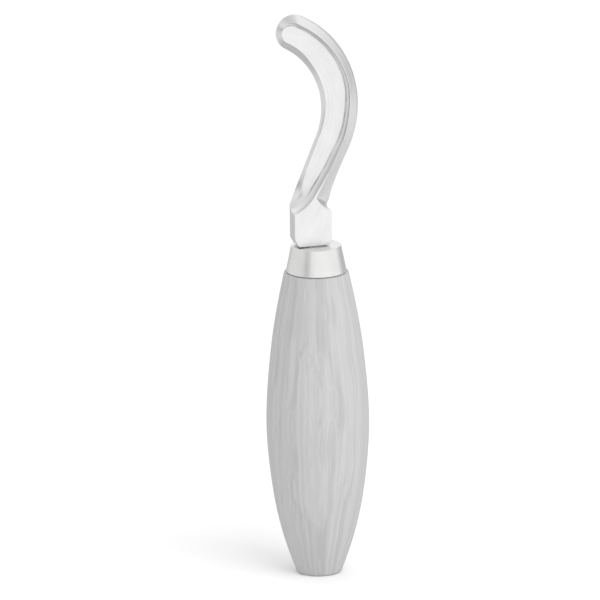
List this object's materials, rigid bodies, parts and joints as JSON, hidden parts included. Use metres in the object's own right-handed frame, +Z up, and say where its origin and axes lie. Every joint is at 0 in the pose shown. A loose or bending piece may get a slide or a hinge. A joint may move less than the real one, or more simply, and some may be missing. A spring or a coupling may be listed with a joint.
{
  "type": "hooked knife",
  "caption": "Fixed hooked knife: a flat-backed steel blade with bevelled edges curls to a round tip above a square block, a conical ferrule and a barrel-shaped turned wooden handle.",
  "frame": {"origin": "middle of the flat butt of the handle", "axes": "+Z up along the handle's axis towards the blade, +Y out of the blade's flat back, and the tip hooks over towards -X"},
  "size_m": [0.036, 0.036, 0.2011],
  "materials": {
    "blade_steel": "satin ground steel, fine lines along the blade",
    "ferrule_metal": "satin turned metal",
    "handle_wood": "grey-toned turned wood, grain along the handle, oiled",
    "cement": "dark cutler's cement"
  },
  "bodies": {
    "root": {"blade": "blade_steel", "ferrule": "ferrule_metal", "handle": "handle_wood", "tang_cement": "cement"}
  },
  "joints": []
}
